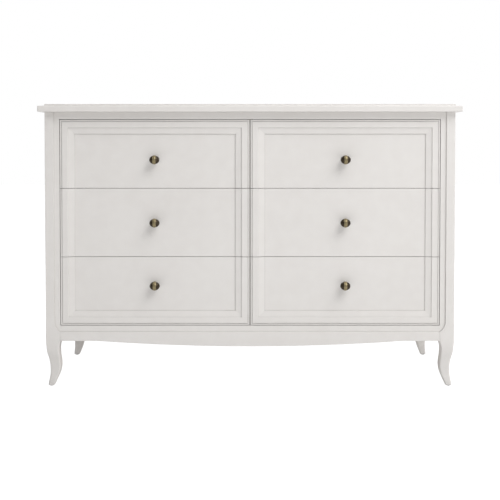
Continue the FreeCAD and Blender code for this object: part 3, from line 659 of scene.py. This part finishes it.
@dataclass
class Finishes:
    """Every finish of the dresser, made once."""

    paint: dict[Along, bpy.types.Material] = field(default_factory=dict)
    box_wood: dict[Along, bpy.types.Material] = field(default_factory=dict)
    board: dict[Along, bpy.types.Material] = field(default_factory=dict)
    brass: bpy.types.Material = field(init=False)
    band: bpy.types.Material = field(init=False)
    steel: bpy.types.Material = field(init=False)
    hardboard: bpy.types.Material = field(init=False)
    plastic: bpy.types.Material = field(init=False)
    rubber: bpy.types.Material = field(init=False)
    birch_light: Colour = (0.70, 0.56, 0.38)
    birch_dark: Colour = (0.52, 0.37, 0.21)
    pine_light: Colour = (0.62, 0.53, 0.41)
    pine_dark: Colour = (0.49, 0.40, 0.29)
    pine_roughness: float = 0.62
    brass_body: Colour = (0.088, 0.066, 0.042)
    brass_dark: Colour = (0.022, 0.017, 0.012)
    brass_rubbed: Colour = (0.30, 0.24, 0.14)
    # the band's brass is a lighter copy of the knob's brass: a painted highlight, standing in for the bright
    # reflection along the band
    band_sheen_body: Colour = (0.36, 0.30, 0.17)
    band_sheen_dark: Colour = (0.20, 0.16, 0.09)
    band_sheen_rubbed: Colour = (0.58, 0.50, 0.33)
    band_roughness: float = 0.42
    rubber_colour: Colour = (0.42, 0.41, 0.39)
    rubber_scuffed: Colour = (0.55, 0.54, 0.52)

    def build(self) -> None:
        """Makes the materials, one for each direction of the grain where it has one."""
        self.build_woods()
        self.build_metals()
        self.hardboard = HardboardFinish("hardboard").build()
        self.plastic = PlasticFinish("glide_plastic").build()
        self.rubber = PlasticFinish("bumper_rubber", self.rubber_colour, self.rubber_scuffed).build()

    def build_woods(self) -> None:
        """Makes the paint, the drawers' birch and the bare pine."""
        for along in Along:
            self.paint[along] = PaintFinish(f"satin_paint_{along.name.lower()}", along).build()
        for along in (Along.X, Along.Y):
            birch = WoodFinish(f"birch_{along.name.lower()}", along, self.birch_light, self.birch_dark)
            self.box_wood[along] = birch.build()
        for along in Along:
            pine = WoodFinish(
                f"bare_pine_{along.name.lower()}", along, self.pine_light, self.pine_dark,
                lacquer=0.0, roughness=self.pine_roughness,
            )
            self.board[along] = pine.build()

    def build_metals(self) -> None:
        """Makes the knobs' brass, a lighter copy of it for the band that paints in the band's highlight, and
        the zinc-plated steel.
        """
        self.brass = BrassFinish("antique_brass", self.brass_body, self.brass_dark, self.brass_rubbed).build()
        colours = (self.band_sheen_body, self.band_sheen_dark, self.band_sheen_rubbed)
        self.band = BrassFinish("band_sheen_brass", *colours, self.band_roughness).build()
        self.steel = SteelFinish("zinc_steel").build()


@dataclass
class Case:
    """The carcass: legs, rails, panels, top and back."""

    finishes: Finishes
    upright: tuple[str, ...] = (
        "front_left_leg", "front_right_leg", "rear_left_leg", "rear_right_leg", "side_panels",
    )
    level: tuple[str, ...] = (
        "top_board", "front_top_rail", "front_apron", "rear_top_rail", "rear_bottom_rail",
    )
    bumper_radius: float = 0.0035
    bumper_thickness: float = 0.0015
    bumper_inset: float = 0.016
    bumper_spread: float = 0.0048
    pins: int = 7
    pin_radius: float = 0.0035
    pin_height: float = 0.0008

    def dress(self) -> None:
        """Gives every still piece its finish."""
        for node in self.upright:
            dress(node, self.finishes.paint[Along.Z])
        for node in self.level:
            dress(node, self.finishes.paint[Along.X])
        dress("side_aprons", self.finishes.paint[Along.Y])
        dress("back_panel", self.finishes.hardboard)
        dress("bottom_panel", self.finishes.board[Along.X])
        dress("centre_partition", self.finishes.board[Along.Z])
        dress("slide_cleats", self.finishes.board[Along.Y])
        dress("case_slides", self.finishes.steel)
        dress("top_screws", self.finishes.steel)
        dress("foot_glides", self.finishes.plastic)

    def build_bumpers(self) -> None:
        """Sticks soft pads on the partition's front edge, where the closed fronts would knock."""
        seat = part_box("centre_partition")[0].y
        shaper = Shaper()
        outline = scaled(PAD_OUTLINE, self.bumper_thickness, self.bumper_radius)
        for row in Row:
            low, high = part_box(f"{row.value}_{Bank.LEFT.value}_drawer_front")
            for z in (low.z + self.bumper_inset, high.z - self.bumper_inset):
                for x in (-self.bumper_spread, self.bumper_spread):
                    shaper.turned(outline, Vector((x, seat, z)), Vector((0, -1, 0)), segments=28)
        shaper.piece("drawer_bumpers", CASE_BODY, Slot.PLASTIC, self.finishes.rubber)

    def build_back_pins(self) -> None:
        """Drives a row of pins through the middle of the back, into the partition's rear edge."""
        low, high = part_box("back_panel")
        shaper = Shaper()
        outline = scaled(PIN_OUTLINE, self.pin_height, self.pin_radius)
        for n in range(self.pins):
            up = (high.z - low.z) * (n + 0.5) / self.pins
            shaper.turned(outline, Vector((0.0, high.y, low.z + up)), Vector((0, 1, 0)), segments=24)
        shaper.piece("back_pins", CASE_BODY, Slot.STEEL, self.finishes.steel)


@dataclass
class Knob:
    """An oval metal knob turned about its long axis, on a short stem, with its screw inside the drawer."""

    drawer: str
    finishes: Finishes
    band_half: float = 0.0048
    band_rise: float = 0.0007
    groove_width: float = 0.0009
    groove_depth: float = 0.0008
    panel_sink: float = 0.0073
    neck_radius: float = 0.0048
    base_radius: float = 0.0080
    base_thickness: float = 0.0020
    screw_radius: float = 0.0044
    screw_height: float = 0.0024
    washer_share: float = 0.3
    head_share: float = 0.86
    lobe_rings: int = 22
    groove_floor_ease: float = 0.0003
    groove_rim_ease: float = 0.0002
    band_sink: float = 0.9
    neck_end: float = 1.2
    half: float = field(init=False)
    radius: float = field(init=False)
    screw_end: float = field(init=False)
    centre: Vector = field(init=False)
    seat: float = field(init=False)

    def __post_init__(self) -> None:
        """Takes the knob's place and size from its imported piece."""
        low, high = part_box(self.drawer + "_knob")
        self.half = (high.x - low.x) / 2
        self.radius = (high.z - low.z) / 2 - self.band_rise
        self.screw_end = high.y
        across, up = (low.x + high.x) / 2, (low.z + high.z) / 2
        self.centre = Vector((across, low.y + self.radius + self.band_rise, up))
        self.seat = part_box(self.drawer + "_front")[0].y + self.panel_sink

    def oval(self, along: float) -> float:
        """The oval's radius at a distance from its middle."""
        return self.radius * math.sqrt(max(0.0, 1 - (along / self.half) ** 2))

    def build_body(self) -> bpy.types.Object:
        """Makes the two lobes, joined by a core under the band.

        Returns:
            The knob's body.
        """
        edge = self.band_half + self.groove_width
        floor = self.oval(edge) - self.groove_depth
        start = math.acos(edge / self.half)
        ease = self.groove_floor_ease
        half_outline = [(0.0, floor), (self.band_half, floor), (edge - ease, floor), (edge, floor + ease)]
        half_outline.append((edge, self.oval(edge) - self.groove_rim_ease))
        for n in range(self.lobe_rings + 1):
            angle = start * (1 - n / self.lobe_rings)
            half_outline.append((self.half * math.cos(angle), self.radius * math.sin(angle)))
        left = [(-along, radius) for along, radius in reversed(half_outline[1:])]
        shaper = Shaper()
        shaper.turned(left + half_outline, self.centre, Vector((1, 0, 0)), segments=72)
        return shaper.piece(self.drawer + "_knob_body", self.drawer, Slot.BRASS, self.finishes.brass)

    def build_band(self) -> None:
        """Makes the crowned band between the two grooves, with a fine bead along each side, in a lighter
        brass that paints in the band's highlight.
        """
        inner = self.oval(self.band_half) - self.groove_depth * self.band_sink
        b, r, rise = self.band_half, self.radius, self.band_rise
        right = [(b * along, r + rise * up) for along, up in BAND_OUTLINE]
        outline = [(-b, inner)] + [(-along, radius) for along, radius in right]
        outline += [(0.0, r + rise)] + list(reversed(right)) + [(b, inner), (-b, inner)]
        shaper = Shaper()
        shaper.turned(outline, self.centre, Vector((1, 0, 0)), segments=72)
        bmesh.ops.remove_doubles(shaper.mesh, verts=shaper.mesh.verts, dist=1e-6)
        # the band's lighter brass paints in its highlight
        shaper.piece(self.drawer + "_knob_band", self.drawer, Slot.BRASS, self.finishes.band)

    def build_stem(self) -> None:
        """Makes the stepped base on the drawer and the waisted neck up to the body."""
        length = self.seat - self.centre.y
        end_radius = self.neck_radius * self.neck_end
        outline = scaled(BASE_OUTLINE, self.base_thickness, self.base_radius)
        outline += scaled(NECK_OUTLINE, self.base_thickness, self.neck_radius)
        outline += [[length, end_radius], [length, 0.0]]
        shaper = Shaper()
        foot = Vector((self.centre.x, self.seat, self.centre.z))
        shaper.turned(outline, foot, Vector((0, -1, 0)), segments=56)
        shaper.piece(self.drawer + "_knob_stem", self.drawer, Slot.BRASS, self.finishes.brass)

    def build_screw(self) -> None:
        """Makes the head of the screw that holds the knob, on a thin washer inside the drawer."""
        inside = self.screw_end - self.screw_height
        washer = self.screw_height * self.washer_share
        head = self.screw_radius * self.head_share
        into = Vector((0, 1, 0))
        seat = Vector((self.centre.x, inside, self.centre.z))
        shaper = Shaper()
        shaper.turned(scaled(WASHER_OUTLINE, washer, self.screw_radius), seat, into, segments=40)
        shaper.screw_head(seat + into * washer, into, head, self.screw_height - washer)
        shaper.piece(self.drawer + "_knob_screw", self.drawer, Slot.STEEL, self.finishes.steel)

    def build(self) -> None:
        """Makes the knob's pieces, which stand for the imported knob."""
        body = self.build_body()
        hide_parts(self.drawer + "_knob")
        self.build_band()
        self.build_stem()
        self.build_screw()


@dataclass
class SlideHardware:
    """What two of a drawer's slides carry: balls in cages, mounting screws and release levers.

    Distances across a slide are counted from the wall that carries it, and heights from its middle.
    """

    drawer: str
    finishes: Finishes
    middle_back: float = 0.0022
    outer_race: tuple[float, float] = (0.0060, 0.02035)
    inner_race: tuple[float, float] = (0.0076, 0.01725)
    ball_radius: float = 0.00085
    balls: int = 9
    ball_spacing: float = 0.017
    cage_margin: float = 0.006
    cage_half_width: float = 0.0014
    cage_half_thickness: float = 0.0003
    web: float = 0.0115
    screw_radius: float = 0.0036
    screw_height: float = 0.0018
    screw_inset: float = 0.030
    lever_start: float = 0.062
    boss: tuple[Span, ...] = ((0.0, 0.0), (0.0, 0.0042), (0.0018, 0.0042), (0.0023, 0.0036), (0.0023, 0.0))
    arm_depth: float = 0.0016
    arm_run: Span = (-0.002, 0.034)
    arm_half_height: float = 0.0024
    arm_rounding: float = 0.0005
    tab_depth: float = 0.0042
    tab_run: Span = (0.027, 0.036)
    tab_half_height: float = 0.0050
    tab_rounding: float = 0.0009
    ridges: int = 4
    ridge_start: float = 0.0285
    ridge_spacing: float = 0.0019
    ridge_width: float = 0.0009
    ridge_rise: float = 0.0006
    ridge_half_height: float = 0.0042
    ridge_rounding: float = 0.0002
    cage_rounding: float = 0.4
    walls: tuple[Span, Span] = field(init=False)
    height: float = field(init=False)
    front: float = field(init=False)
    back: float = field(init=False)

    def __post_init__(self) -> None:
        """Finds the two walls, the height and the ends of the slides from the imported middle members."""
        low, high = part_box(self.drawer + "_middle_slides")
        self.walls = ((low.x - self.middle_back, 1.0), (high.x + self.middle_back, -1.0))
        self.height = (low.z + high.z) / 2
        self.front, self.back = low.y, high.y

    def build_balls(self) -> None:
        """Makes the balls and their cages, which travel with the middle members.

        The outer races' balls are in the middle member's rear half and the inner races' in its front half,
        where the members still overlap when the drawer is fully open.
        """
        balls, cages = Shaper(), Shaper()
        run = self.balls * self.ball_spacing
        starts = ((self.outer_race, self.back - run), (self.inner_race, self.front + self.ball_spacing))
        for wall, inwards in self.walls:
            for (across, up), start in starts:
                for z in (self.height - up, self.height + up):
                    self.fill_race(balls, cages, wall + inwards * across, start, z)
        carriers = self.drawer.replace("_drawer", "") + "_slide_carriers"
        balls.piece(self.drawer + "_slide_balls", carriers, Slot.STEEL, self.finishes.steel)
        cages.piece(self.drawer + "_ball_cages", carriers, Slot.STEEL, self.finishes.steel)

    def fill_race(self, balls: Shaper, cages: Shaper, x: float, start: float, z: float) -> None:
        """Puts one race's balls and cage in place.

        Args:
            balls: collects the balls.
            cages: collects the cages.
            x: where the race is across the case.
            start: where its first ball is.
            z: the race's height.
        """
        for n in range(self.balls):
            balls.ball((x, start + n * self.ball_spacing, z), self.ball_radius)
        w, t = self.cage_half_width, self.cage_half_thickness
        first = start - self.cage_margin
        last = start + (self.balls - 1) * self.ball_spacing + self.cage_margin
        cages.bar((x - w, first, z - t), (x + w, last, z + t), t * self.cage_rounding)

    def build_screws(self) -> None:
        """Makes the heads of the screws that hold the inner members to the drawer's sides."""
        shaper = Shaper()
        places = (self.front + self.screw_inset, (self.front + self.back) / 2, self.back - self.screw_inset)
        for wall, inwards in self.walls:
            for y in places:
                seat = Vector((wall + inwards * self.web, y, self.height))
                shaper.screw_head(seat, Vector((-inwards, 0, 0)), self.screw_radius, self.screw_height)
        shaper.piece(self.drawer + "_slide_screws", self.drawer, Slot.STEEL, self.finishes.steel)

    def build_levers(self) -> None:
        """Makes the plastic levers that free the drawer from its slides: a boss, an arm and a finger tab."""
        shaper = Shaper()
        y, z = self.front + self.lever_start, self.height
        arm, tab, ridge = self.arm_half_height, self.tab_half_height, self.ridge_half_height
        for wall, inwards in self.walls:
            web = wall + inwards * self.web
            thin = wall + inwards * (self.web - self.arm_depth)
            thick = wall + inwards * (self.web - self.tab_depth)
            shaper.turned(self.boss, Vector((web, y, z)), Vector((-inwards, 0, 0)), segments=32)
            start, end = (y + along for along in self.arm_run)
            shaper.bar((thin, start, z - arm), (web, end, z + arm), self.arm_rounding)
            start, end = (y + along for along in self.tab_run)
            shaper.bar((thick, start, z - tab), (web, end, z + tab), self.tab_rounding)
            for n in range(self.ridges):
                start = y + self.ridge_start + n * self.ridge_spacing
                crest, end = thick - inwards * self.ridge_rise, start + self.ridge_width
                shaper.bar((thick, start, z - ridge), (crest, end, z + ridge), self.ridge_rounding)
        shaper.piece(self.drawer + "_release_levers", self.drawer, Slot.PLASTIC, self.finishes.plastic)

    def build(self) -> None:
        """Makes all the slides' small parts."""
        self.build_balls()
        self.build_screws()
        self.build_levers()


@dataclass
class Drawer:
    """One drawer with its box, knob and slides."""

    bank: Bank
    row: Row
    finishes: Finishes
    corner_screw_radius: float = 0.0034
    corner_screw_height: float = 0.0007
    corner_screw_heights: tuple[float, ...] = (0.014, 0.110, 0.148)

    @property
    def name(self) -> str:
        """The name that all of this drawer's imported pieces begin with, and its body's name."""
        return f"{self.row.value}_{self.bank.value}_drawer"

    def node(self, piece: str) -> str:
        """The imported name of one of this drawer's pieces."""
        return f"{self.name}_{piece}"

    def dress(self) -> None:
        """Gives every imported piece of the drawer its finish."""
        dress(self.node("front"), self.finishes.paint[Along.X])
        dress(self.node("box_sides"), self.finishes.box_wood[Along.Y])
        dress(self.node("box_back"), self.finishes.box_wood[Along.X])
        dress(self.node("box_bottom"), self.finishes.box_wood[Along.X])
        dress(self.node("knob"), self.finishes.brass)
        dress(self.node("inner_slides"), self.finishes.steel)
        dress(self.node("middle_slides"), self.finishes.steel)

    def build_corner_screws(self) -> None:
        """Makes the flat heads that hold the sides to the back board."""
        low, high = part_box(self.node("box_sides"))
        back_low, back_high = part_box(self.node("box_back"))
        y = (back_low.y + back_high.y) / 2
        shaper = Shaper()
        for x, outwards in ((low.x, -1.0), (high.x, 1.0)):
            for up in self.corner_screw_heights:
                seat, axis = Vector((x, y, low.z + up)), Vector((outwards, 0, 0))
                shaper.screw_head(seat, axis, self.corner_screw_radius, self.corner_screw_height)
        shaper.piece(self.node("corner_screws"), self.name, Slot.STEEL, self.finishes.steel)

    def build(self) -> None:
        """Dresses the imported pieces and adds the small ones."""
        self.dress()
        Knob(self.name, self.finishes).build()
        SlideHardware(self.name, self.finishes).build()
        self.build_corner_screws()


@dataclass
class Studio:
    """A pale floor, soft light from the upper right, and the camera in front of the dresser's middle."""

    floor_half: float = 14.0
    floor_dark: Colour = (0.24, 0.24, 0.24)
    floor_light: Colour = (0.27, 0.27, 0.27)
    floor_cloud: float = 1.5
    floor_roughness: float = 0.8
    lens: float = 65.0
    sensor: float = 36.0
    camera_distance: float = 2.862
    camera_height: float = 0.7735
    pitch: float = math.radians(1.65)
    shift: float = -0.16
    floor_glow: float = 0.74
    floor_seen: float = 0.95
    floor_shade: float = 0.33
    floor_rise: float = 0.5
    glow_run: Span = (-3.0, 3.0)
    shaded_x: Span = (0.56, 0.82)
    shaded_y: Span = (0.16, 0.42)
    sky: Span = (0.18, 0.42)
    key_place: Place = (2.4, -2.4, 4.1)
    key_aim: Place = (0.1, 0.0, 0.45)
    key_size: Span = (3.8, 3.2)
    key_watts: float = 166.0
    overhead_place: Place = (0.0, -0.2, 3.3)
    overhead_aim: Place = (0.0, 0.0, 0.9)
    overhead_size: Span = (3.2, 2.6)
    overhead_watts: float = 22.0
    rear_place: Place = (-1.6, 3.2, 2.3)
    rear_aim: Place = (0.0, 0.0, 0.5)
    rear_size: Span = (2.4, 2.0)
    rear_watts: float = 30.0

    def build_floor(self) -> None:
        """Lays the floor, just under the feet."""
        mesh = bpy.data.meshes.new("studio_floor")
        h = self.floor_half
        mesh.from_pydata([(-h, -h, 0), (h, -h, 0), (h, h, 0), (-h, h, 0)], [], [(0, 1, 2, 3)])
        floor = bpy.data.objects.new("studio_floor", mesh)
        bpy.context.scene.collection.objects.link(floor)
        g = Graph("pale_floor")
        cloud = g.noise(self.floor_cloud, detail=2.0)
        g.feed(g.shader, "Base Color", g.mix(cloud, self.floor_dark, self.floor_light))
        g.feed(g.shader, "Roughness", self.floor_roughness)
        g.feed(g.shader, "Emission Color", WHITE)
        g.feed(g.shader, "Emission Strength", self.floor_strength(g))
        mesh.materials.append(g.material)

    def floor_strength(self, g: Graph) -> bpy.types.NodeSocket:
        """Works out how brightly the floor glows.

        The camera sees one even brightness. What the floor throws on the dresser is less, least under the
        case, and rises to the right.

        Args:
            g: the floor's graph.

        Returns:
            The socket with the strength.
        """
        seen = g.node("LightPath", {}, {}).outputs["Is Camera Ray"]
        place = g.node("SeparateXYZ", {}, {0: g.node("TexCoord", {}, {}).outputs["Object"]}).outputs
        beyond_x = g.span(g.math("ABSOLUTE", place["X"], 0.0), self.shaded_x)
        beyond_y = g.span(g.math("ABSOLUTE", place["Y"], 0.0), self.shaded_y)
        open_floor = g.math("MAXIMUM", beyond_x, beyond_y)
        from_left = g.span(place["X"], self.glow_run)
        side_share = g.math("ADD", g.math("MULTIPLY", from_left, self.floor_rise), 1 - self.floor_rise / 2)
        strength = g.span(open_floor, (0.0, 1.0), (self.floor_shade, self.floor_glow))
        glow = g.math("MULTIPLY", strength, side_share)
        kept = g.math("MULTIPLY", glow, g.math("SUBTRACT", 1.0, seen))
        return g.math("ADD", kept, g.math("MULTIPLY", seen, self.floor_seen))

    def build_light(self) -> None:
        """Sets the surrounding light and the lamps."""
        world = bpy.data.worlds.new("studio")
        bpy.context.scene.world = world
        world.use_nodes = True
        tree = world.node_tree
        background = tree.nodes["Background"]
        background.inputs["Color"].default_value = WHITE
        seen = tree.nodes.new("ShaderNodeLightPath").outputs["Is Camera Ray"]
        direction = tree.nodes.new("ShaderNodeTexCoord").outputs["Generated"]
        parts = tree.nodes.new("ShaderNodeSeparateXYZ")
        tree.links.new(direction, parts.inputs[0])
        across = tree.nodes.new("ShaderNodeMapRange")
        tree.links.new(parts.outputs["X"], across.inputs["Value"])
        across.inputs["From Min"].default_value = -1.0
        across.inputs["To Min"].default_value, across.inputs["To Max"].default_value = self.sky
        strength = tree.nodes.new("ShaderNodeMapRange")
        tree.links.new(seen, strength.inputs["Value"])
        tree.links.new(across.outputs[0], strength.inputs["To Min"])
        strength.inputs["To Max"].default_value = 1.0
        tree.links.new(strength.outputs[0], background.inputs["Strength"])
        self.lamp("key", self.key_place, self.key_aim, self.key_size, self.key_watts)
        self.lamp("overhead", self.overhead_place, self.overhead_aim, self.overhead_size, self.overhead_watts)
        self.lamp("rear_fill", self.rear_place, self.rear_aim, self.rear_size, self.rear_watts)

    def lamp(self, name: str, place: Place, aim: Place, size: Span, watts: float) -> None:
        """Adds one rectangular soft light.

        Args:
            name: the lamp's name.
            place: where it is.
            aim: the point that it faces.
            size: its width and height.
            watts: its power.
        """
        data = bpy.data.lights.new(name, "AREA")
        data.shape = "RECTANGLE"
        data.size, data.size_y = size
        data.energy = watts
        lamp = bpy.data.objects.new(name, data)
        lamp.location = place
        lamp.rotation_euler = (Vector(aim) - Vector(place)).to_track_quat("-Z", "Y").to_euler()
        bpy.context.scene.collection.objects.link(lamp)

    def build_camera(self) -> None:
        """Sets the camera in front of the case, looking slightly down."""
        data = bpy.data.cameras.new("camera")
        data.lens = self.lens
        data.sensor_width = self.sensor
        data.shift_y = self.shift
        camera = bpy.data.objects.new("camera", data)
        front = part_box("front_left_leg")[0].y
        camera.location = (0.0, front - self.camera_distance, self.camera_height)
        camera.rotation_euler = (math.pi / 2 - self.pitch, 0.0, 0.0)
        bpy.context.scene.collection.objects.link(camera)
        bpy.context.scene.camera = camera

    def build(self) -> None:
        """Builds the floor, the light and the camera."""
        self.build_floor()
        self.build_light()
        self.build_camera()
        bpy.context.scene.view_settings.view_transform = "Standard"


def main() -> None:
    """Builds and dresses the dresser."""
    logging.basicConfig(level=logging.INFO, format="%(message)s")
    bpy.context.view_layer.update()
    finishes = Finishes()
    finishes.build()
    case = Case(finishes)
    case.dress()
    case.build_bumpers()
    case.build_back_pins()
    for bank in Bank:
        for row in Row:
            Drawer(bank, row, finishes).build()
    Studio().build()


if __name__ == "__main__":
    main()
